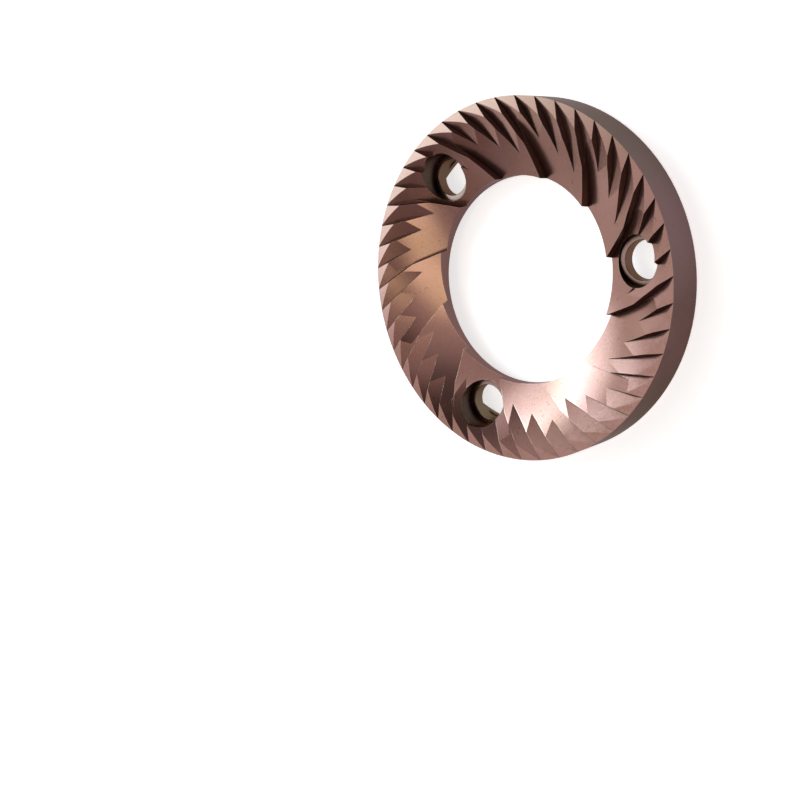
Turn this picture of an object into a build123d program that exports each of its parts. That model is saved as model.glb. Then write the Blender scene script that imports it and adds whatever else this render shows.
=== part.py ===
from build123d import *

import os
from math import cos, radians, sin, sqrt, tan

# Flat burr of a coffee grinder: one turned, drilled and ground steel ring.
# The origin is at the centre of the back rim face, +Z points out of the toothed face,
# and the first screw hole lies on +X. All lengths are millimetres, all angles degrees.

# Turned ring
outer_diameter = 64.0
bore_diameter = 37.3
total_height = 8.5
recess_diameter = 55.2
recess_depth = 2.0
recess_corner_radius = 0.4
recess_edge_chamfer = 0.5
bore_back_chamfer = 0.7
rim_back_chamfer = 0.8

# Screw holes, counterbored from the toothed face and drilled just past the recess floor
hole_count = 3
hole_circle_diameter = 49.1
hole_diameter = 6.6
hole_edge_chamfer = 0.1
hole_overrun = 0.5
counterbore_diameter = 8.7
counterbore_depth = 4.3

# Fine teeth, ground by a wheel with a flat side and a tapered rim
tooth_count = 48
tooth_wheel_radius = 40.0
tooth_wheel_width = 7.0
tooth_groove_depth = 2.37
tooth_lead = 25.2
tooth_lean = 18.3
tooth_flank_angle = 9.9
tooth_tip_overrun = 0.16
tooth_phase = 24.2

# Breaker teeth, one for every few fine teeth, ground by a wider wheel
teeth_per_breaker = 4
breaker_wheel_radius = 37.5
breaker_wheel_width = 20.0
breaker_groove_depth = 5.23
breaker_lead = 14.6
breaker_lean = 6.8
breaker_ramp_angle = 13.6
breaker_reach = 22.1
breaker_offset = 2.03

# Only the arc of each wheel that meets the ring is modelled
wheel_rim_height = 9.0
wheel_arc = 80.0

outer_radius = outer_diameter / 2
bore_radius = bore_diameter / 2
recess_radius = recess_diameter / 2
hole_radius = hole_diameter / 2
counterbore_radius = counterbore_diameter / 2
hole_bottom = recess_depth - hole_overrun
counterbore_floor = total_height - counterbore_depth
breaker_count = tooth_count // teeth_per_breaker

# The two chamfers of the back rim leave at least half of its width flat
back_rim_width = outer_radius - recess_radius
recess_edge = min(recess_edge_chamfer, back_rim_width / 4)
rim_edge = min(rim_back_chamfer, back_rim_width / 4)

# A tooth wheel leaves the land just outside the rim, so every groove opens at the rim
tooth_drop = tooth_groove_depth / cos(radians(tooth_lean))
tooth_half_chord = sqrt(tooth_wheel_radius**2 - (tooth_wheel_radius - tooth_drop) ** 2)
tooth_reach = tooth_half_chord - tooth_tip_overrun


def grinding_wheel(radius, width, taper, lead, lean, offset, reach, depth):
    """Arc of a wheel whose flat side grinds the steep wall and whose rim grinds the slope.

    The tooth tip lies on +X, at the rim. The groove runs inwards at the lead angle from the
    radius, the offset away from the tip, and is deepest after the reach. Its steep wall leans
    from the vertical, and the rim of the wheel tapers away from that wall.
    """
    run = Vector(-cos(radians(lead)), -sin(radians(lead)), 0)
    across = Vector(sin(radians(lead)), -cos(radians(lead)), 0)
    down = across * sin(radians(lean)) - Vector(0, 0, cos(radians(lean)))
    tip = Vector(outer_radius, 0, total_height)
    drop = depth / cos(radians(lean))
    centre = tip + across * offset + run * reach + down * (drop - radius)
    with BuildPart() as wheel:
        with BuildSketch(Plane.XZ.rotated((0, 0, -wheel_arc / 2))):
            with BuildLine():
                Polyline(
                    (radius, 0),
                    (radius - width * tan(radians(taper)), width),
                    (radius - wheel_rim_height, width),
                    (radius - wheel_rim_height, 0),
                    close=True,
                )
            make_face()
        revolve(axis=Axis.Z, revolution_arc=wheel_arc)
    return wheel.part.moved(Plane(origin=centre, x_dir=down, z_dir=run.cross(down)).location)


tooth_wheel = grinding_wheel(
    radius=tooth_wheel_radius,
    width=tooth_wheel_width,
    taper=tooth_flank_angle,
    lead=tooth_lead,
    lean=tooth_lean,
    offset=0,
    reach=tooth_reach,
    depth=tooth_groove_depth,
)
breaker_wheel = grinding_wheel(
    radius=breaker_wheel_radius,
    width=breaker_wheel_width,
    taper=breaker_ramp_angle,
    lead=breaker_lead,
    lean=breaker_lean,
    offset=breaker_offset,
    reach=breaker_reach,
    depth=breaker_groove_depth,
)

# Screw seat: counterbore, broken edge and drilled hole
with BuildPart() as screw_seat:
    with BuildSketch(Plane.XZ):
        with BuildLine():
            Polyline(
                (0, total_height),
                (counterbore_radius, total_height),
                (counterbore_radius, counterbore_floor),
                (hole_radius + hole_edge_chamfer, counterbore_floor),
                (hole_radius, counterbore_floor - hole_edge_chamfer),
                (hole_radius, hole_bottom),
                (0, hole_bottom),
                close=True,
            )
        make_face()
    revolve(axis=Axis.Z)

with BuildPart() as burr:
    # Turned section: bore, recessed back, rim and flat toothed face
    with BuildSketch(Plane.XZ) as section:
        with BuildLine():
            Polyline(
                (bore_radius, total_height),
                (bore_radius, recess_depth + bore_back_chamfer),
                (bore_radius + bore_back_chamfer, recess_depth),
                (recess_radius, recess_depth),
                (recess_radius, recess_edge),
                (recess_radius + recess_edge, 0),
                (outer_radius - rim_edge, 0),
                (outer_radius, rim_edge),
                (outer_radius, total_height),
                close=True,
            )
        make_face()
        recess_corner = section.vertices().sort_by_distance((recess_radius, recess_depth))[0]
        fillet(recess_corner, recess_corner_radius)
    revolve(axis=Axis.Z)

    # Breaker grooves, then a fine groove at every tooth
    for place in PolarLocations(0, breaker_count, start_angle=tooth_phase):
        add(breaker_wheel.moved(place), mode=Mode.SUBTRACT)
    for place in PolarLocations(0, tooth_count, start_angle=tooth_phase):
        add(tooth_wheel.moved(place), mode=Mode.SUBTRACT)

    # Screw holes
    with PolarLocations(hole_circle_diameter / 2, hole_count):
        add(screw_seat.part, mode=Mode.SUBTRACT)

burr.part.label = "burr"
os.makedirs("parts", exist_ok=True)
export_step(burr.part, "parts/burr.step")
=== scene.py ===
"""Studio scene of a flat coffee grinder burr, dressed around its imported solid.

The burr lies on its back rim with the teeth up. Lengths are metres, as in the frame.
"""

import logging
import math
from dataclasses import dataclass, field
from enum import Enum

import bpy
import numpy as np
from mathutils import Matrix, Quaternion, Vector

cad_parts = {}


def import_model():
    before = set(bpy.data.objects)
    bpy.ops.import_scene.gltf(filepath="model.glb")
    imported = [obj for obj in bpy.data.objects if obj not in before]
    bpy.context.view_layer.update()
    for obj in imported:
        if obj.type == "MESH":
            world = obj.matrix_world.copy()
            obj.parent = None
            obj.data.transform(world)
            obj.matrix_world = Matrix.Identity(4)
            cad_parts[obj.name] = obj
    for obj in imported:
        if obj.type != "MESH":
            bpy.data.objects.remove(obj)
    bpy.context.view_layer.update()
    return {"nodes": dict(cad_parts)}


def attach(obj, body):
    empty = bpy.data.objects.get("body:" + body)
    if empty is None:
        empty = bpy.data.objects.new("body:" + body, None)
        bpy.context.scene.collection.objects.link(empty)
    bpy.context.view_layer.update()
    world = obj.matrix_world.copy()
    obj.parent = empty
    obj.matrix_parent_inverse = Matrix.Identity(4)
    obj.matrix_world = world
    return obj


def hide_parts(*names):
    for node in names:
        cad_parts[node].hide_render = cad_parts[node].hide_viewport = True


LOG = logging.getLogger("burr")
MM = 0.001

Colour = tuple[float, float, float]
Span = tuple[float, float]


class Surface(Enum):
    """How a face of the ring was made, which is also its place among the material slots."""

    SLOPE = 0
    LAND = 1
    WALL = 2
    TURNED = 3
    BORED = 4
    DRILLED = 5
    COUNTERBORED = 6
    SEAT = 7
    BACK = 8
    CHAMFER = 9


class NodeSketch:
    """Short hand for laying out and linking the nodes of one node tree."""

    def __init__(self, tree: bpy.types.NodeTree) -> None:
        """Start from an empty tree.

        Args:
            tree: the node tree of a material or the world.
        """
        self.tree = tree
        tree.nodes.clear()

    def node(self, kind: str, **settings: object) -> bpy.types.Node:
        """Add a node and set its properties.

        Args:
            kind: the node's type name.
            settings: property names and values.

        Returns:
            The new node.
        """
        made = self.tree.nodes.new(kind)
        for name, value in settings.items():
            setattr(made, name, value)
        return made

    def feed(self, socket: bpy.types.NodeSocket, value: object) -> None:
        """Link a socket to another node's output, or set it to a constant.

        Args:
            socket: the input socket.
            value: an output socket, a number or a tuple.
        """
        if isinstance(value, bpy.types.NodeSocket):
            self.tree.links.new(value, socket)
        else:
            socket.default_value = value

    def math(self, operation: str, *values: object) -> bpy.types.NodeSocket:
        """Combine numbers.

        Args:
            operation: the Math node's operation.
            values: the numbers or outputs that it takes.

        Returns:
            The result's output socket.
        """
        made = self.node("ShaderNodeMath", operation=operation)
        for socket, value in zip(made.inputs, values):
            self.feed(socket, value)
        return made.outputs[0]

    def product(self, first: object, *others: object) -> bpy.types.NodeSocket:
        """Multiply numbers.

        Args:
            first: the first number or output.
            others: the other numbers or outputs.

        Returns:
            The product's output socket.
        """
        for other in others:
            first = self.math("MULTIPLY", first, other)
        return first

    def ramp(self, value: object, low: float, high: float) -> bpy.types.NodeSocket:
        """Smooth step of a number from 0 at low to 1 at high.

        Args:
            value: the number or output.
            low: where the step starts.
            high: where the step ends.

        Returns:
            The step's output socket.
        """
        made = self.node("ShaderNodeMapRange", interpolation_type="SMOOTHSTEP")
        self.feed(made.inputs["Value"], value)
        self.feed(made.inputs["From Min"], low)
        self.feed(made.inputs["From Max"], high)
        return made.outputs["Result"]

    def mix(self, share: object, first: object, second: object) -> bpy.types.NodeSocket:
        """Mix two colours.

        Args:
            share: how much of the second colour shows.
            first: a colour or output.
            second: a colour or output.

        Returns:
            The mixed colour's output socket.
        """
        # The node's colour sockets come after those for numbers and vectors
        made = self.node("ShaderNodeMix", data_type="RGBA")
        self.feed(made.inputs[0], share)
        self.feed(made.inputs[6], opaque(first))
        self.feed(made.inputs[7], opaque(second))
        return made.outputs[2]

    def noise(self, vector: object, scale: float, detail: float) -> bpy.types.NodeSocket:
        """Cloudy noise around 0.5.

        Args:
            vector: where it is read.
            scale: how many clouds in a unit.
            detail: how many finer layers it has.

        Returns:
            The noise's output socket.
        """
        made = self.node("ShaderNodeTexNoise")
        self.feed(made.inputs["Vector"], vector)
        self.feed(made.inputs["Scale"], scale)
        self.feed(made.inputs["Detail"], detail)
        return made.outputs["Fac"]


def opaque(colour: object) -> object:
    """Give a three-part colour its alpha, and pass an output through."""
    if isinstance(colour, tuple):
        return (*colour, 1.0)
    return colour


@dataclass(frozen=True)
class Mottle:
    """Cloudy noise, cut to a share between two of its levels."""

    scale: float
    detail: float
    levels: Span

    def share(self, nodes: NodeSketch, place: object) -> bpy.types.NodeSocket:
        """Lay out the noise and its cut.

        Args:
            nodes: the material's nodes.
            place: the object coordinates.

        Returns:
            The share's output socket.
        """
        return nodes.ramp(nodes.noise(place, self.scale, self.detail), *self.levels)


GRIME_PATCHES = Mottle(scale=700.0, detail=3.0, levels=(0.46, 0.7))
SPECKS = Mottle(scale=2200.0, detail=1.0, levels=(0.66, 0.74))
SPECK_CROWDS = Mottle(scale=160.0, detail=2.0, levels=(0.4, 0.65))
EDGE_BREAKS = Mottle(scale=450.0, detail=3.0, levels=(0.4, 0.58))

# How open a corner looks from outside where painted shade fills it, and how deep an edge looks from inside as
# it wears
CORNER_OPENNESS: Span = (0.92, 0.6)
EDGE_DEPTH: Span = (0.95, 0.68)
PROBE_RAYS = 8
BEVEL_RAYS = 4


@dataclass(frozen=True)
class WearAndLightPlaces:
    """Where the burr is clouded and dirty, and where painted reflection, shade, sheen and edge glints lie.

    Clouds are counted in a metre. A span runs from where a mark starts to where it is
    whole, along Y unless its comment says otherwise.
    """

    wide_clouds: float = 140.0
    wide_layers: float = 3.0
    fine_clouds: float = 2600.0
    fine_layers: float = 2.0
    wide_share: float = 0.6
    cloud_levels: Span = (0.38, 0.62)
    # The next four spans place painted reflection and painted shade: a greyer tint towards the back, and low
    # at the front darker on the rim and paler in the holes
    back_tint_reflected: Span = (-10.0 * MM, 3.0 * MM)
    painted_light: Span = (6.0 * MM, 22.0 * MM)
    low_front_painted: Span = (-14.0 * MM, -25.0 * MM)
    low_front_heights: Span = (7.8 * MM, 6.4 * MM)  # along Z
    # The next two spans place the patina, which also paints a sheen on the back lands
    patina_and_sheen_place: Span = (12.0 * MM, 24.0 * MM)
    patina_and_sheen_rim: Span = (29.0 * MM, 31.6 * MM)  # along the radius
    dirty_front: Span = (2.0 * MM, -14.0 * MM)
    dirty_right: Span = (-8.0 * MM, 6.0 * MM)  # along X
    dirty_rim: Span = (26.0 * MM, 30.5 * MM)  # along the radius
    # Painted shade in inside corners grows along X up to here
    shaded_side: float = 8.0 * MM  # along X
    # The next three place a painted highlight: worn edges are brightest, as glints, towards the front left
    glint_front: Span = (8.0 * MM, -12.0 * MM)
    glint_left: Span = (10.0 * MM, -6.0 * MM)  # along X
    edge_share_off_glint: float = 0.2


WEAR_AND_LIGHT = WearAndLightPlaces()


@dataclass(frozen=True)
class Spot:
    """The parts of the object coordinates that the wear and the painted light follow."""

    across: bpy.types.NodeSocket
    back: bpy.types.NodeSocket
    up: bpy.types.NodeSocket
    radius: bpy.types.NodeSocket

    @classmethod
    def read(cls, nodes: NodeSketch, place: object) -> "Spot":
        """Take the object coordinates apart and work out the radius.

        Args:
            nodes: the material's nodes.
            place: the object coordinates.

        Returns:
            The parts.
        """
        parts = nodes.node("ShaderNodeSeparateXYZ")
        nodes.feed(parts.inputs[0], place)
        across, back, up = parts.outputs["X"], parts.outputs["Y"], parts.outputs["Z"]
        squares = nodes.math("ADD", nodes.product(across, across), nodes.product(back, back))
        return cls(across, back, up, nodes.math("SQRT", squares))

    def across_ramp(self, nodes: NodeSketch, span: Span) -> bpy.types.NodeSocket:
        """Smooth step along X."""
        return nodes.ramp(self.across, *span)

    def back_ramp(self, nodes: NodeSketch, span: Span) -> bpy.types.NodeSocket:
        """Smooth step along Y."""
        return nodes.ramp(self.back, *span)


@dataclass(frozen=True)
class SteelFinish:
    """A coated steel surface: its colours, its gloss and the marks of its making.

    A share is how much of a mark shows, from 0 to 1. The waves run along the machining lines.
    Some marks are painted light: reflection and shade by place, a sheen with the patina, shade in
    inside corners and glints on worn edges.
    """

    name: str
    coat: Colour
    coat_cloud: Colour
    # The worn edge colour is real edge wear, and a painted highlight where it glints towards the front left
    worn_edge_and_glint: Colour
    roughness: float
    lines_per_mm: float
    line_depth: float
    line_gloss: float
    edge_share: float
    speck: Colour
    speck_share: float
    # The next four colour painted reflection and painted shade by place: a greyer tint towards the back, and
    # low at the front darker on the rim and paler in the holes
    back_tint_reflection: Colour = (0.19, 0.13, 0.132)
    grey_back_reflection: Colour = (0.126, 0.114, 0.102)
    low_front_shade_and_reflection: Colour = (0.1, 0.088, 0.072)
    painted_light_share: float = 0.0
    # The patina also paints a sheen on the back lands
    patina_and_sheen: Colour = (0.48, 0.34, 0.25)
    patina_and_sheen_share: float = 0.0
    grime: Colour = (0.22, 0.1, 0.07)
    grime_share: float = 0.0
    # The corner colour is painted shade in inside corners, fading towards the unshaded side along X
    corner: Colour = (0.11, 0.052, 0.042)
    corner_shade_share: float = 0.0
    corner_shade_width: float = 0.35 * MM
    unshaded_side: float = -22.0 * MM
    edge_width: float = 0.2 * MM
    edge_radius: float = 0.03 * MM
    waves_per_mm: float = 0.12
    line_layers: float = 4.0
    grazing: Colour = (1.0, 1.0, 1.0)
    film: float = 0.0
    film_roughness: float = 0.18

    def material(self) -> bpy.types.Material:
        """Build the finish as a node material.

        The coat's colour drifts in soft clouds, and carries painted reflection, shade and sheen by
        place, and painted shade in inside corners. Machining lines follow the ring's own grain
        coordinate and change the gloss and the bump. Edges, found by looking inwards through the
        solid over the edge width, are worn to a brighter colour in broken lines, brightest towards
        the front left as a painted highlight.

        Returns:
            The new material.
        """
        made = bpy.data.materials.new(self.name)
        made.use_nodes = True
        nodes = NodeSketch(made.node_tree)
        place = nodes.node("ShaderNodeTexCoord").outputs["Object"]
        grain = nodes.node("ShaderNodeAttribute", attribute_name="grain").outputs["Fac"]
        lines = self.lines(nodes, place, grain)
        colour = self.colour(nodes, place)
        gloss = nodes.math("MULTIPLY_ADD", lines, self.line_gloss, self.roughness - self.line_gloss / 2)
        bump = nodes.node("ShaderNodeBump")
        nodes.feed(bump.inputs["Height"], lines)
        nodes.feed(bump.inputs["Distance"], self.line_depth)
        rounded = nodes.node("ShaderNodeBevel", samples=BEVEL_RAYS)
        rounded.inputs["Radius"].default_value = self.edge_radius
        nodes.feed(bump.inputs["Normal"], rounded.outputs["Normal"])
        shader = nodes.node("ShaderNodeBsdfPrincipled")
        shader.inputs["Metallic"].default_value = 1.0
        shader.inputs["Specular Tint"].default_value = opaque(self.grazing)
        shader.inputs["Coat Weight"].default_value = self.film
        shader.inputs["Coat Roughness"].default_value = self.film_roughness
        nodes.feed(shader.inputs["Base Color"], colour)
        nodes.feed(shader.inputs["Roughness"], gloss)
        nodes.feed(shader.inputs["Normal"], bump.outputs["Normal"])
        output = nodes.node("ShaderNodeOutputMaterial")
        nodes.feed(output.inputs["Surface"], shader.outputs["BSDF"])
        return made

    def colour(self, nodes: NodeSketch, place: object) -> bpy.types.NodeSocket:
        """Colour of the coat, with its clouds, dirt and worn edges, and its painted reflection, shade, sheen
        and edge glints.

        Args:
            nodes: the material's nodes.
            place: the object coordinates.

        Returns:
            The colour's output socket.
        """
        spot = Spot.read(nodes, place)
        # Painted reflection and shade by place, with the patina and its painted sheen
        colour = self.painted_light(nodes, spot, self.clouded(nodes, place))
        colour = self.soiled_and_shaded(nodes, spot, place, colour)
        # Worn edges everywhere, made brightest towards the front left as a painted highlight
        left = spot.across_ramp(nodes, WEAR_AND_LIGHT.glint_left)
        glint_place = nodes.product(spot.back_ramp(nodes, WEAR_AND_LIGHT.glint_front), left)
        edge_wear_and_glint = nodes.math("MULTIPLY_ADD", glint_place, 1.0 - WEAR_AND_LIGHT.edge_share_off_glint, WEAR_AND_LIGHT.edge_share_off_glint)
        return nodes.mix(nodes.product(self.edge(nodes, place), edge_wear_and_glint), colour, self.worn_edge_and_glint)

    def clouded(self, nodes: NodeSketch, place: object) -> bpy.types.NodeSocket:
        """The bare coat, drifting between its two colours in wide and fine clouds.

        Args:
            nodes: the material's nodes.
            place: the object coordinates.

        Returns:
            The colour's output socket.
        """
        drift = nodes.product(nodes.noise(place, WEAR_AND_LIGHT.wide_clouds, WEAR_AND_LIGHT.wide_layers), WEAR_AND_LIGHT.wide_share)
        mottle = nodes.product(nodes.noise(place, WEAR_AND_LIGHT.fine_clouds, WEAR_AND_LIGHT.fine_layers), 1.0 - WEAR_AND_LIGHT.wide_share)
        cloud = nodes.ramp(nodes.math("ADD", drift, mottle), *WEAR_AND_LIGHT.cloud_levels)
        return nodes.mix(cloud, self.coat, self.coat_cloud)

    def painted_light(self, nodes: NodeSketch, spot: Spot, colour: object) -> bpy.types.NodeSocket:
        """Painted reflection: a greyer tint towards the back; painted shade low at the front on the rim,
        paler painted reflection there in the holes; patina with a painted sheen on the back rim.

        Args:
            nodes: the material's nodes.
            spot: the parts of the object coordinates.
            colour: the coat's colour.

        Returns:
            The colour's output socket.
        """
        back_tint_reflected = nodes.product(spot.back_ramp(nodes, WEAR_AND_LIGHT.back_tint_reflected), self.painted_light_share)
        colour = nodes.mix(back_tint_reflected, colour, self.back_tint_reflection)
        painted_light = nodes.product(spot.back_ramp(nodes, WEAR_AND_LIGHT.painted_light), self.painted_light_share)
        colour = nodes.mix(painted_light, colour, self.grey_back_reflection)
        low = nodes.ramp(spot.up, *WEAR_AND_LIGHT.low_front_heights)
        low_front_painted = nodes.product(spot.back_ramp(nodes, WEAR_AND_LIGHT.low_front_painted), self.painted_light_share, low)
        colour = nodes.mix(low_front_painted, colour, self.low_front_shade_and_reflection)
        patina_and_sheen_place = nodes.product(spot.back_ramp(nodes, WEAR_AND_LIGHT.patina_and_sheen_place), nodes.ramp(spot.radius, *WEAR_AND_LIGHT.patina_and_sheen_rim))
        return nodes.mix(nodes.product(patina_and_sheen_place, self.patina_and_sheen_share), colour, self.patina_and_sheen)

    def soiled_and_shaded(self, nodes: NodeSketch, spot: Spot, place: object, colour: object) -> bpy.types.NodeSocket:
        """Grime near the front rim, specks in crowds and painted shade in the inside corners.

        Args:
            nodes: the material's nodes.
            spot: the parts of the object coordinates.
            place: the object coordinates.
            colour: the coat's colour, with its painted light.

        Returns:
            The colour's output socket.
        """
        right = spot.across_ramp(nodes, WEAR_AND_LIGHT.dirty_right)
        front = nodes.product(spot.back_ramp(nodes, WEAR_AND_LIGHT.dirty_front), right)
        outer = nodes.product(front, nodes.ramp(spot.radius, *WEAR_AND_LIGHT.dirty_rim))
        dirty = nodes.product(GRIME_PATCHES.share(nodes, place), outer, self.grime_share)
        colour = nodes.mix(dirty, colour, self.grime)
        specks = nodes.product(SPECKS.share(nodes, place), SPECK_CROWDS.share(nodes, place), self.speck_share)
        colour = nodes.mix(specks, colour, self.speck)
        # Painted shade in the inside corners, stronger towards +X
        shaded_side = (self.unshaded_side, WEAR_AND_LIGHT.shaded_side)
        corner_shade = nodes.product(self.painted_corner_shade(nodes), spot.across_ramp(nodes, shaded_side))
        return nodes.mix(corner_shade, colour, self.corner)

    def lines(self, nodes: NodeSketch, place: object, grain: object) -> bpy.types.NodeSocket:
        """Machining lines: noise that runs fast across the grain and slowly along it.

        Args:
            nodes: the material's nodes.
            place: the object coordinates.
            grain: the coordinate across the grain, in metres.

        Returns:
            The lines' output socket.
        """
        slow = nodes.node("ShaderNodeSeparateXYZ")
        nodes.feed(slow.inputs[0], place)
        along = nodes.node("ShaderNodeCombineXYZ")
        nodes.feed(along.inputs[0], nodes.product(grain, self.lines_per_mm / MM))
        nodes.feed(along.inputs[1], nodes.product(slow.outputs[0], self.waves_per_mm / MM))
        nodes.feed(along.inputs[2], nodes.product(slow.outputs[1], self.waves_per_mm / MM))
        return nodes.noise(along.outputs[0], 1.0, self.line_layers)

    def painted_corner_shade(self, nodes: NodeSketch) -> bpy.types.NodeSocket:
        """Share of painted shade: in an inside corner, rays cast out soon meet the next face.

        Args:
            nodes: the material's nodes.

        Returns:
            The share's output socket.
        """
        outside = nodes.node("ShaderNodeAmbientOcclusion", only_local=True, samples=PROBE_RAYS)
        outside.inputs["Distance"].default_value = self.corner_shade_width
        return nodes.product(nodes.ramp(outside.outputs["AO"], *CORNER_OPENNESS), self.corner_shade_share)

    def edge(self, nodes: NodeSketch, place: object) -> bpy.types.NodeSocket:
        """Share of worn edge: near an outside corner, rays cast into the solid soon leave it.

        Args:
            nodes: the material's nodes.
            place: the object coordinates.

        Returns:
            The share's output socket.
        """
        inside = nodes.node("ShaderNodeAmbientOcclusion", inside=True, only_local=True, samples=PROBE_RAYS)
        inside.inputs["Distance"].default_value = self.edge_width
        near = nodes.ramp(inside.outputs["AO"], *EDGE_DEPTH)
        return nodes.product(near, EDGE_BREAKS.share(nodes, place), self.edge_share)


FINISHES = {
    Surface.SLOPE: SteelFinish(
        name="ground_slope_steel",
        coat=(0.43, 0.23, 0.195),
        coat_cloud=(0.385, 0.208, 0.158),
        worn_edge_and_glint=(0.74, 0.6, 0.54),
        roughness=0.26,
        lines_per_mm=16.0,
        line_depth=0.0003 * MM,
        line_gloss=0.03,
        edge_share=0.6,
        speck=(0.13, 0.06, 0.045),
        speck_share=0.55,
        # The patina carries a painted sheen
        patina_and_sheen_share=0.3,
        grime_share=0.32,
        # Painted shade in the inside corners
        corner_shade_share=0.55,
        film=0.3,
    ),
    Surface.LAND: SteelFinish(
        name="ground_land_steel",
        coat=(0.43, 0.23, 0.195),
        coat_cloud=(0.385, 0.208, 0.158),
        worn_edge_and_glint=(0.74, 0.6, 0.54),
        roughness=0.15,
        lines_per_mm=16.0,
        line_depth=0.0002 * MM,
        line_gloss=0.03,
        edge_share=0.5,
        speck=(0.13, 0.06, 0.045),
        speck_share=0.5,
        # The patina carries a painted sheen
        patina_and_sheen_share=0.3,
        grime_share=0.24,
        film=0.3,
    ),
    Surface.WALL: SteelFinish(
        name="ground_wall_steel",
        # The walls' coat is darker than the slopes', though both are the same coated steel: painted shade
        coat=(0.13, 0.09, 0.082),
        coat_cloud=(0.102, 0.074, 0.069),
        worn_edge_and_glint=(0.6, 0.46, 0.4),
        roughness=0.36,
        lines_per_mm=10.0,
        line_depth=0.001 * MM,
        line_gloss=0.08,
        edge_share=0.4,
        speck=(0.06, 0.035, 0.028),
        speck_share=0.5,
        grazing=(0.5, 0.36, 0.32),
    ),
    Surface.TURNED: SteelFinish(
        name="turned_steel",
        coat=(0.148, 0.092, 0.086),
        coat_cloud=(0.127, 0.081, 0.076),
        worn_edge_and_glint=(0.5, 0.38, 0.33),
        roughness=0.4,
        lines_per_mm=9.0,
        line_depth=0.0008 * MM,
        line_gloss=0.06,
        edge_share=0.6,
        speck=(0.05, 0.03, 0.025),
        speck_share=0.45,
        # Painted reflection and shade on the rim by place
        painted_light_share=0.75,
        grazing=(0.56, 0.47, 0.45),
    ),
    Surface.BORED: SteelFinish(
        name="bored_steel",
        coat=(0.2, 0.108, 0.098),
        coat_cloud=(0.17, 0.096, 0.088),
        worn_edge_and_glint=(0.6, 0.46, 0.4),
        roughness=0.38,
        lines_per_mm=9.0,
        line_depth=0.0008 * MM,
        line_gloss=0.06,
        edge_share=0.25,
        speck=(0.08, 0.05, 0.04),
        speck_share=0.4,
        # Painted reflection and shade on the bore wall by place
        back_tint_reflection=(0.17, 0.093, 0.085),
        grey_back_reflection=(0.12, 0.075, 0.07),
        painted_light_share=0.7,
        grazing=(0.7, 0.6, 0.6),
    ),
    Surface.DRILLED: SteelFinish(
        name="drilled_steel",
        coat=(0.15, 0.106, 0.08),
        coat_cloud=(0.115, 0.086, 0.058),
        worn_edge_and_glint=(0.5, 0.36, 0.29),
        roughness=0.36,
        lines_per_mm=8.0,
        line_depth=0.0008 * MM,
        line_gloss=0.06,
        edge_share=0.6,
        speck=(0.06, 0.035, 0.03),
        speck_share=0.4,
        # Painted reflection and shade in the holes by place, paler low at the front
        back_tint_reflection=(0.188, 0.098, 0.08),
        grey_back_reflection=(0.13, 0.084, 0.056),
        low_front_shade_and_reflection=(0.2, 0.155, 0.1),
        painted_light_share=0.8,
        grazing=(0.6, 0.5, 0.42),
    ),
    Surface.COUNTERBORED: SteelFinish(
        name="counterbored_steel",
        # The counterbore wall's coat is darker than the seat's: painted shade
        coat=(0.11, 0.074, 0.06),
        coat_cloud=(0.09, 0.062, 0.05),
        worn_edge_and_glint=(0.5, 0.38, 0.32),
        roughness=0.38,
        lines_per_mm=8.0,
        line_depth=0.0008 * MM,
        line_gloss=0.06,
        edge_share=0.5,
        speck=(0.05, 0.03, 0.025),
        speck_share=0.4,
        # Painted shade in the inside corner by the seat
        corner=(0.045, 0.03, 0.024),
        corner_shade_share=0.8,
        corner_shade_width=0.8 * MM,
        unshaded_side=-60.0 * MM,
        grazing=(0.5, 0.38, 0.32),
    ),
    Surface.SEAT: SteelFinish(
        name="seat_steel",
        coat=(0.37, 0.24, 0.2),
        coat_cloud=(0.3, 0.19, 0.155),
        worn_edge_and_glint=(0.62, 0.42, 0.34),
        roughness=0.22,
        lines_per_mm=8.0,
        line_depth=0.001 * MM,
        line_gloss=0.06,
        edge_share=0.8,
        speck=(0.12, 0.06, 0.045),
        speck_share=0.4,
        # Painted shade over the outer part of the seat, by the counterbore wall
        corner=(0.045, 0.032, 0.027),
        corner_shade_share=0.95,
        corner_shade_width=1.0 * MM,
        unshaded_side=-60.0 * MM,
    ),
    Surface.BACK: SteelFinish(
        name="turned_back_steel",
        coat=(0.11, 0.067, 0.058),
        coat_cloud=(0.092, 0.056, 0.049),
        worn_edge_and_glint=(0.5, 0.34, 0.29),
        roughness=0.42,
        lines_per_mm=9.0,
        line_depth=0.0008 * MM,
        line_gloss=0.06,
        edge_share=0.5,
        speck=(0.035, 0.022, 0.019),
        speck_share=0.8,
        grazing=(0.5, 0.4, 0.38),
    ),
    Surface.CHAMFER: SteelFinish(
        name="turned_chamfer_steel",
        # The chamfers' coat is brighter than the rest of the turned steel: painted highlight
        coat=(0.36, 0.21, 0.178),
        coat_cloud=(0.32, 0.188, 0.155),
        worn_edge_and_glint=(0.6, 0.45, 0.4),
        roughness=0.3,
        lines_per_mm=9.0,
        line_depth=0.0006 * MM,
        line_gloss=0.05,
        edge_share=0.4,
        speck=(0.08, 0.05, 0.04),
        speck_share=0.4,
    ),
}


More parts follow.
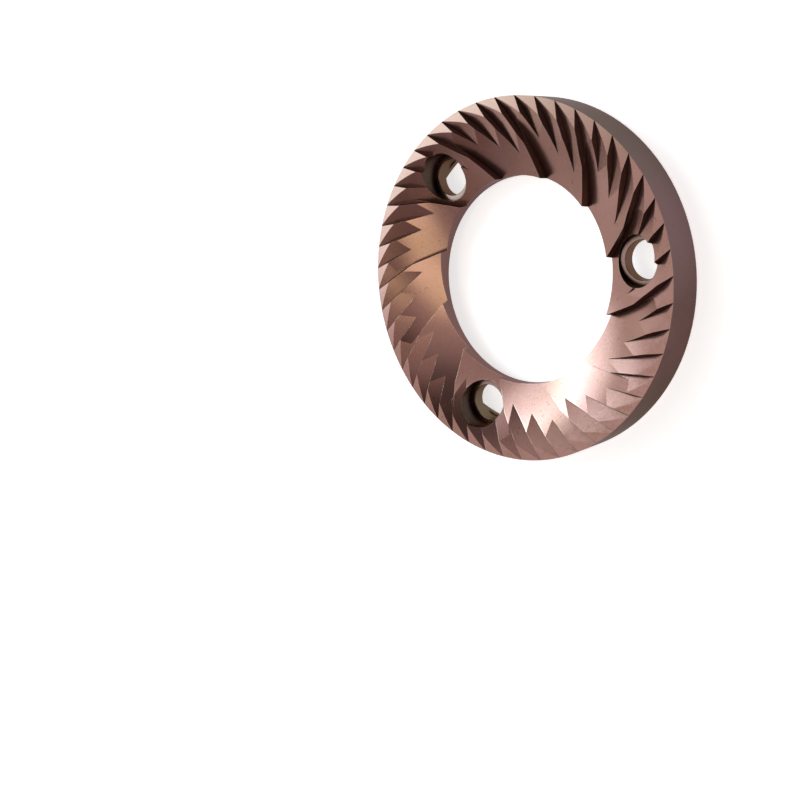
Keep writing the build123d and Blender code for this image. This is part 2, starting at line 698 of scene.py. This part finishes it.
@dataclass(frozen=True)
class GrindingWheel:
    """The wheel that ground one family of grooves, placed as for the solid.

    A wheel has a flat side, which ground the steep walls, and a tapered rim, which ground
    the slopes. Lengths are metres, angles degrees.
    """

    grooves: int
    radius: float
    taper: float
    lead: float
    lean: float
    offset: float
    reach: float
    depth: float
    phase: float = 24.2

    def place(self, rim: float, height: float) -> tuple[np.ndarray, np.ndarray]:
        """Centres and axes of the wheel at every groove.

        The first groove starts on the rim at +X and runs inwards at the lead angle. The wheel
        leans from the vertical, and its place is turned about Z for the other grooves.

        Args:
            rim: the ring's outer radius.
            height: the height of the toothed face.

        Returns:
            Two arrays of one row a groove: the centre of the flat side, and the axis, which
            points from the flat side into the wheel.
        """
        lead, lean = math.radians(self.lead), math.radians(self.lean)
        run = np.array([-math.cos(lead), -math.sin(lead), 0.0])
        across = np.array([math.sin(lead), -math.cos(lead), 0.0])
        down = across * math.sin(lean) - np.array([0.0, 0.0, math.cos(lean)])
        tip = np.array([rim, 0.0, height])
        drop = self.depth / math.cos(lean)
        centre = tip + across * self.offset + run * self.reach + down * (drop - self.radius)
        turns = np.radians(self.phase + 360.0 / self.grooves * np.arange(self.grooves))
        cosine, sine = np.cos(turns), np.sin(turns)
        spin = np.zeros((self.grooves, 3, 3))
        spin[:, 0, 0], spin[:, 0, 1] = cosine, -sine
        spin[:, 1, 0], spin[:, 1, 1] = sine, cosine
        spin[:, 2, 2] = 1.0
        return spin @ centre, spin @ np.cross(run, down)


def fine_wheel() -> GrindingWheel:
    """The wheel of the fine teeth, whose reach ends just outside the rim."""
    radius, depth, lean, overrun = 40.0 * MM, 2.37 * MM, 18.3, 0.16 * MM
    drop = depth / math.cos(math.radians(lean))
    half_chord = math.sqrt(radius**2 - (radius - drop) ** 2)
    return GrindingWheel(
        grooves=48,
        radius=radius,
        taper=9.9,
        lead=25.2,
        lean=lean,
        offset=0.0,
        reach=half_chord - overrun,
        depth=depth,
    )


def breaker_wheel() -> GrindingWheel:
    """The wheel of the breaker teeth."""
    return GrindingWheel(
        grooves=12,
        radius=37.5 * MM,
        taper=13.6,
        lead=14.6,
        lean=6.8,
        offset=2.03 * MM,
        reach=22.1 * MM,
        depth=5.23 * MM,
    )


@dataclass
class BurrRing:
    """The burr itself: a merged copy of its solid, with exact normals, grain and finishes.

    A fall or rise is how far a face's normal points down or up, and a match is how closely
    a face's normal has to follow its wheel.
    """

    outer_radius: float = 32.0 * MM
    height: float = 8.5 * MM
    bore_radius: float = 18.65 * MM
    hole_circle_radius: float = 24.55 * MM
    hole_count: int = 3
    hole_radius: float = 3.3 * MM
    counterbore_radius: float = 4.35 * MM
    recess_radius: float = 27.6 * MM
    recess_depth: float = 2.0 * MM
    corner_radius: float = 0.4 * MM
    weld: float = 0.0005 * MM
    reach: float = 0.003 * MM
    chamfer_fall: float = 0.2
    back_fall: float = 0.9
    seat_rise: float = 0.5
    side_match: float = 0.9
    rim_match: float = 0.98
    wheels: tuple[GrindingWheel, ...] = field(default_factory=lambda: (fine_wheel(), breaker_wheel()))

    def build(self, solid: bpy.types.Object) -> bpy.types.Object:
        """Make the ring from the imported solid's triangles.

        Args:
            solid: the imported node.

        Returns:
            The finished piece.
        """
        points, faces = self.merged(solid.data)
        normals, grain, surface = self.surfaces(points, faces)
        mesh = bpy.data.meshes.new("burr_ring")
        mesh.from_pydata(points.tolist(), [], faces.tolist())
        mesh.polygons.foreach_set("use_smooth", np.ones(len(faces), dtype=bool))
        mesh.polygons.foreach_set("material_index", surface.astype(np.int32))
        attribute = mesh.attributes.new("grain", "FLOAT", "CORNER")
        attribute.data.foreach_set("value", grain.ravel().astype(np.float32))
        mesh.normals_split_custom_set(normals.reshape(-1, 3).tolist())
        mesh.update()
        piece = bpy.data.objects.new("burr_ring", mesh)
        bpy.context.scene.collection.objects.link(piece)
        for kind in Surface:
            mesh.materials.append(FINISHES[kind].material())
        LOG.info("burr_ring: %d points, %d faces", len(points), len(faces))
        return piece

    def merged(self, mesh: bpy.types.Mesh) -> tuple[np.ndarray, np.ndarray]:
        """Points and triangles of the solid, with points closer than the weld made one.

        Args:
            mesh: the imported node's mesh of loose triangles.

        Returns:
            The points and the corner indices of each triangle.
        """
        flat = np.empty(len(mesh.vertices) * 3)
        mesh.vertices.foreach_get("co", flat)
        corners = np.empty(len(mesh.loops), dtype=np.int64)
        mesh.loops.foreach_get("vertex_index", corners)
        keys = np.round(flat.reshape(-1, 3) / self.weld).astype(np.int64)
        _, first, twin = np.unique(keys, axis=0, return_index=True, return_inverse=True)
        points = flat.reshape(-1, 3)[first]
        faces = twin.ravel()[corners].reshape(-1, 3)
        whole = (faces != np.roll(faces, 1, axis=1)).all(axis=1)
        return points, faces[whole]

    def surfaces(self, points: np.ndarray, faces: np.ndarray) -> tuple[np.ndarray, np.ndarray, np.ndarray]:
        """Normals, grain and making of every face.

        Each face takes the surface that its three corners lie on. A turned or drilled face has
        the normal of a surface of revolution: the slope of its facet, and the true direction
        from its axis at each corner. A ground face has the normal of its wheel.

        Args:
            points: the ring's points.
            faces: the corner indices of each triangle.

        Returns:
            A normal for each corner, a grain coordinate for each corner and a surface number
            for each face.
        """
        corners = points[faces]
        facet = np.cross(corners[:, 1] - corners[:, 0], corners[:, 2] - corners[:, 0])
        facet /= np.linalg.norm(facet, axis=1, keepdims=True)
        surface = np.full(len(faces), Surface.TURNED.value)
        surface[facet[:, 2] < -self.chamfer_fall] = Surface.CHAMFER.value
        surface[facet[:, 2] < -self.back_fall] = Surface.BACK.value
        normals, grain = self.revolved(corners, facet, np.zeros(2))
        self.soften_corner(corners, normals)
        bored = np.linalg.norm(corners[:, :, :2], axis=2).max(axis=1) < self.bore_radius + self.reach
        surface[bored] = Surface.BORED.value
        for turn in np.arange(self.hole_count) * 2.0 * math.pi / self.hole_count:
            axis = self.hole_circle_radius * np.array([math.cos(turn), math.sin(turn)])
            away = np.linalg.norm(corners[:, :, :2] - axis, axis=2)
            drilled = (away < self.counterbore_radius + self.reach).all(axis=1)
            round_axis = self.revolved(corners, facet, axis)
            normals[drilled], grain[drilled] = round_axis[0][drilled], round_axis[1][drilled]
            surface[drilled] = Surface.DRILLED.value
            in_counterbore = away.min(axis=1) > self.hole_radius + self.reach
            surface[drilled & in_counterbore] = Surface.COUNTERBORED.value
            surface[drilled & (facet[:, 2] > self.seat_rise)] = Surface.SEAT.value
        land = (corners[:, :, 2] > self.height - self.reach).all(axis=1)
        surface[land] = Surface.LAND.value
        for wheel in self.wheels:
            self.grind(wheel, corners, facet, normals, grain, surface)
        return normals, grain, surface

    def revolved(
        self,
        corners: np.ndarray,
        facet: np.ndarray,
        axis: np.ndarray,
    ) -> tuple[np.ndarray, np.ndarray]:
        """Normals and grain of faces turned about an upright axis.

        Args:
            corners: the corners of each face.
            facet: the flat normal of each face.
            axis: the axis's place in plan.

        Returns:
            A normal and a grain coordinate for each corner. The grain follows the profile: it
            is the height on an upright wall and the radius on a flat.
        """
        out = corners[:, :, :2] - axis
        radius = np.linalg.norm(out, axis=2, keepdims=True)
        out = out / np.maximum(radius, self.reach)
        facing = np.sign((facet[:, None, :2] * out).sum(axis=2).mean(axis=1))[:, None, None]
        rise = facet[:, 2][:, None]
        level = np.sqrt(np.maximum(1.0 - rise**2, 0.0))
        sideways = out * facing * level[:, :, None]
        upwards = np.repeat(rise[:, :, None], 3, axis=1)
        normals = np.concatenate([sideways, upwards], axis=2)
        grain = corners[:, :, 2] * level + radius[:, :, 0] * np.abs(rise)
        return normals, grain

    def soften_corner(self, corners: np.ndarray, normals: np.ndarray) -> None:
        """Give the recess's rounded corner the normals of its own arc.

        Args:
            corners: the corners of each face.
            normals: the corner normals, changed in place.
        """
        radius = np.linalg.norm(corners[:, :, :2], axis=2)
        across = radius - (self.recess_radius - self.corner_radius)
        up = corners[:, :, 2] - (self.recess_depth - self.corner_radius)
        on_arc = np.abs(np.hypot(across, up) - self.corner_radius) < self.reach
        rounded = (on_arc & (across > -self.reach) & (up > -self.reach)).all(axis=1)
        out = corners[rounded][:, :, :2] / radius[rounded][:, :, None]
        normals[rounded, :, :2] = -out * (across[rounded] / self.corner_radius)[:, :, None]
        normals[rounded, :, 2] = -up[rounded] / self.corner_radius

    def grind(
        self,
        wheel: GrindingWheel,
        corners: np.ndarray,
        facet: np.ndarray,
        normals: np.ndarray,
        grain: np.ndarray,
        surface: np.ndarray,
    ) -> None:
        """Find the faces that a wheel ground and give them its normals and grain.

        On the flat side the distance along the axis is zero, and the lines are circles of
        constant radius. On the tapered rim the radius falls with that distance, and the lines
        are circles of constant distance.

        Args:
            wheel: the wheel.
            corners: the corners of each face.
            facet: the flat normal of each face.
            normals: the corner normals, changed in place.
            grain: the corner grain, changed in place.
            surface: the surface number of each face, changed in place.
        """
        slope = math.tan(math.radians(wheel.taper))
        for centre, axis in zip(*wheel.place(self.outer_radius, self.height)):
            out = corners - centre
            along = out @ axis
            radial = out - along[:, :, None] * axis
            radius = np.linalg.norm(radial, axis=2)
            side = (np.abs(along) < self.reach).all(axis=1) & (facet @ axis > self.side_match)
            normals[side], grain[side] = axis, radius[side]
            inwards = -(radial / radius[:, :, None] + slope * axis) / math.hypot(1.0, slope)
            agree = (facet * inwards.mean(axis=1)).sum(axis=1) > self.rim_match
            on_rim = (np.abs(radius + slope * along - wheel.radius) < self.reach).all(axis=1)
            rim = on_rim & agree & ~side
            normals[rim], grain[rim] = inwards[rim], along[rim]
            surface[side] = Surface.WALL.value
            surface[rim] = Surface.SLOPE.value


@dataclass(frozen=True)
class SoftLamp:
    """A soft box, placed by its direction from the burr and its apparent size in degrees."""

    name: str
    direction: tuple[float, float, float]
    distance: float
    half_width: float
    half_height: float
    twist: float
    radiance: float
    colour: Colour

    def build(self) -> bpy.types.Object:
        """Add the lamp, facing the burr.

        Returns:
            The lamp object.
        """
        data = bpy.data.lights.new(self.name, "AREA")
        data.shape = "RECTANGLE"
        data.size = 2.0 * self.distance * math.tan(math.radians(self.half_width))
        data.size_y = 2.0 * self.distance * math.tan(math.radians(self.half_height))
        data.energy = self.radiance * math.pi * data.size * data.size_y
        data.color = self.colour
        lamp = bpy.data.objects.new(self.name, data)
        direction = Vector(self.direction).normalized()
        lamp.location = direction * self.distance
        turned = direction.to_track_quat("Z", "Y") @ Quaternion((0.0, 0.0, 1.0), math.radians(self.twist))
        lamp.rotation_euler = turned.to_euler()
        bpy.context.scene.collection.objects.link(lamp)
        LOG.info("%s: %.2f m away", self.name, self.distance)
        return lamp


@dataclass(frozen=True)
class TentPatch:
    """A round patch of the tent's lining, seen from the burr: its middle, and two angles in degrees."""

    middle: tuple[float, float, float]
    outer: float
    inner: float

    def share(self, nodes: NodeSketch, direction: bpy.types.NodeSocket) -> bpy.types.NodeSocket:
        """Share that rises from 0 at the outer angle round the middle to 1 at the inner angle.

        Args:
            nodes: the world's nodes.
            direction: the direction that a ray looks in.

        Returns:
            The share's output socket.
        """
        near = nodes.node("ShaderNodeVectorMath", operation="DOT_PRODUCT")
        nodes.feed(near.inputs[0], direction)
        near.inputs[1].default_value = Vector(self.middle).normalized()
        low, high = math.cos(math.radians(self.outer)), math.cos(math.radians(self.inner))
        return nodes.ramp(near.outputs["Value"], low, high)


KEY_LAMP = SoftLamp(
    name="key_lamp",
    direction=(-0.55, 0.51, 0.66),
    distance=0.8,
    half_width=6.5,
    half_height=8.5,
    twist=28.0,
    radiance=5.2,
    colour=(0.6, 0.87, 1.0),
)
KEY_SPREAD = SoftLamp(
    name="key_spread",
    direction=(-0.55, 0.47, 0.69),
    distance=0.85,
    half_width=10.5,
    half_height=22.0,
    twist=28.0,
    radiance=2.6,
    colour=(0.66, 0.88, 1.0),
)
WARM_LAMP = SoftLamp(
    name="warm_lamp",
    direction=(-0.12, -0.37, 0.92),
    distance=0.8,
    half_width=11.0,
    half_height=11.0,
    twist=0.0,
    radiance=1.55,
    colour=(0.96, 0.98, 0.69),
)


@dataclass
class Studio:
    """The pale floor, the soft lamps and the tent of light around them.

    A span of the tent is a pair of values of one part of the direction that a ray looks in.
    """

    floor_radius: float = 3.0
    floor_sides: int = 96
    floor_colour: Colour = (0.86, 0.845, 0.83)
    floor_lift: float = 0.7
    lamps: tuple[SoftLamp, ...] = (KEY_LAMP, KEY_SPREAD, WARM_LAMP)
    left_lining: Colour = (0.74, 0.69, 0.7)
    right_lining: Colour = (0.48, 0.4, 0.4)
    right_span: Span = (-0.3, 0.25)
    back_lining: Colour = (0.42, 0.36, 0.355)
    back_span: Span = (0.4, 0.85)
    front_lining: Colour = (0.22, 0.16, 0.165)
    front_span: Span = (-0.1, -0.65)
    shade: TentPatch = TentPatch(middle=(-0.9, -0.33, 0.28), outer=25.0, inner=12.0)
    shade_depth: float = 0.32
    fill: TentPatch = TentPatch(middle=(-0.5, -0.14, 0.855), outer=12.0, inner=3.0)
    fill_colour: Colour = (0.9, 0.9, 0.93)
    glow: TentPatch = TentPatch(middle=(-0.67, 0.14, 0.73), outer=10.0, inner=6.0)
    glow_colour: Colour = (1.95, 2.5, 2.7)
    opening: TentPatch = TentPatch(middle=(0.52, 0.36, 0.775), outer=33.0, inner=20.0)
    opening_colour: Colour = (0.03, 0.022, 0.02)
    horizon_colour: Colour = (1.0, 1.0, 1.0)
    horizon_span: Span = (0.3, 0.13)

    def build(self) -> None:
        """Set up the whole studio."""
        self.floor()
        for lamp in self.lamps:
            lamp.build()
        self.tent()

    def floor(self) -> bpy.types.Object:
        """A round pale floor at the height of the back rim.

        The camera and mirror rays see it lifted towards white, and its shadow stays.

        Returns:
            The floor object.
        """
        turns = np.linspace(0.0, 2.0 * math.pi, self.floor_sides, endpoint=False)
        edge = self.floor_radius * np.stack([np.cos(turns), np.sin(turns), np.zeros_like(turns)], axis=1)
        mesh = bpy.data.meshes.new("floor")
        mesh.from_pydata(edge.tolist(), [], [list(range(len(turns)))])
        mesh.materials.append(self.floor_material())
        floor = bpy.data.objects.new("floor", mesh)
        bpy.context.scene.collection.objects.link(floor)
        LOG.info("floor: radius %.1f m", self.floor_radius)
        return floor

    def floor_material(self) -> bpy.types.Material:
        """Matt pale paint with a lift for camera, glossy and transmission rays."""
        made = bpy.data.materials.new("pale_floor")
        made.use_nodes = True
        nodes = NodeSketch(made.node_tree)
        rays = nodes.node("ShaderNodeLightPath").outputs
        mirrored = nodes.math("MAXIMUM", rays["Is Glossy Ray"], rays["Is Transmission Ray"])
        seen = nodes.math("MAXIMUM", rays["Is Camera Ray"], mirrored)
        paint = nodes.node("ShaderNodeBsdfDiffuse")
        paint.inputs["Color"].default_value = opaque(self.floor_colour)
        glow = nodes.node("ShaderNodeEmission")
        nodes.feed(glow.inputs["Strength"], nodes.product(seen, self.floor_lift))
        both = nodes.node("ShaderNodeAddShader")
        nodes.feed(both.inputs[0], paint.outputs[0])
        nodes.feed(both.inputs[1], glow.outputs[0])
        output = nodes.node("ShaderNodeOutputMaterial")
        nodes.feed(output.inputs["Surface"], both.outputs[0])
        return made

    def tent(self) -> None:
        """The world: a pale tent, brighter round the key lamp and dark at its camera opening."""
        world = bpy.data.worlds.new("light_tent")
        bpy.context.scene.world = world
        world.use_nodes = True
        nodes = NodeSketch(world.node_tree)
        direction = nodes.node("ShaderNodeTexCoord").outputs["Generated"]
        parts = nodes.node("ShaderNodeSeparateXYZ")
        nodes.feed(parts.inputs[0], direction)
        right = nodes.ramp(parts.outputs["X"], *self.right_span)
        colour = nodes.mix(right, self.left_lining, self.right_lining)
        colour = nodes.mix(nodes.ramp(parts.outputs["Y"], *self.back_span), colour, self.back_lining)
        colour = nodes.mix(nodes.ramp(parts.outputs["Y"], *self.front_span), colour, self.front_lining)
        colour = self.dimmed(nodes, colour, self.shade.share(nodes, direction))
        colour = nodes.mix(self.fill.share(nodes, direction), colour, self.fill_colour)
        colour = nodes.mix(self.glow.share(nodes, direction), colour, self.glow_colour)
        colour = nodes.mix(self.opening.share(nodes, direction), colour, self.opening_colour)
        colour = nodes.mix(nodes.ramp(parts.outputs["Z"], *self.horizon_span), colour, self.horizon_colour)
        back = nodes.node("ShaderNodeBackground")
        nodes.feed(back.inputs["Color"], colour)
        output = nodes.node("ShaderNodeOutputWorld")
        nodes.feed(output.inputs["Surface"], back.outputs[0])

    def dimmed(self, nodes: NodeSketch, colour: object, share: object) -> bpy.types.NodeSocket:
        """Darken the lining where the shade lies.

        Args:
            nodes: the world's nodes.
            colour: the lining's colour.
            share: how much of the shade shows.

        Returns:
            The darker colour's output socket.
        """
        made = nodes.node("ShaderNodeVectorMath", operation="SCALE")
        nodes.feed(made.inputs[0], colour)
        nodes.feed(made.inputs["Scale"], nodes.math("SUBTRACT", 1.0, nodes.product(share, self.shade_depth)))
        return made.outputs[0]


@dataclass(frozen=True)
class PhotoCamera:
    """The camera, at the photograph's viewing angle."""

    place: tuple[float, float, float] = (112.459 * MM, -0.961 * MM, 156.097 * MM)
    right: tuple[float, float, float] = (0.716525, -0.167883, -0.677058)
    down: tuple[float, float, float] = (-0.060739, -0.981936, 0.179201)
    focal_pixels: float = 1037.93
    image_pixels: float = 800.0
    sensor: float = 36.0
    clip_start: float = 0.01

    def build(self) -> bpy.types.Object:
        """Add the camera and make it the scene's own.

        Returns:
            The camera object.
        """
        data = bpy.data.cameras.new("photo_camera")
        data.sensor_width = self.sensor
        data.lens = self.focal_pixels / self.image_pixels * self.sensor
        data.clip_start = self.clip_start
        right = Vector(self.right).normalized()
        up = -Vector(self.down)
        back = right.cross(up).normalized()
        up = back.cross(right)
        camera = bpy.data.objects.new("photo_camera", data)
        turn = Matrix((right, up, back)).transposed().to_4x4()
        camera.matrix_world = Matrix.Translation(self.place) @ turn
        bpy.context.scene.collection.objects.link(camera)
        bpy.context.scene.camera = camera
        LOG.info("photo_camera: lens %.1f mm", data.lens)
        return camera


def main() -> None:
    """Load the solid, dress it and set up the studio."""
    logging.basicConfig(level=logging.INFO, format="%(message)s")
    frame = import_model()
    bpy.context.scene.view_settings.view_transform = "Standard"
    ring = BurrRing().build(frame["nodes"]["burr"])
    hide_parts("burr")
    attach(ring, "root")
    Studio().build()
    PhotoCamera().build()


if __name__ == "__main__":
    main()
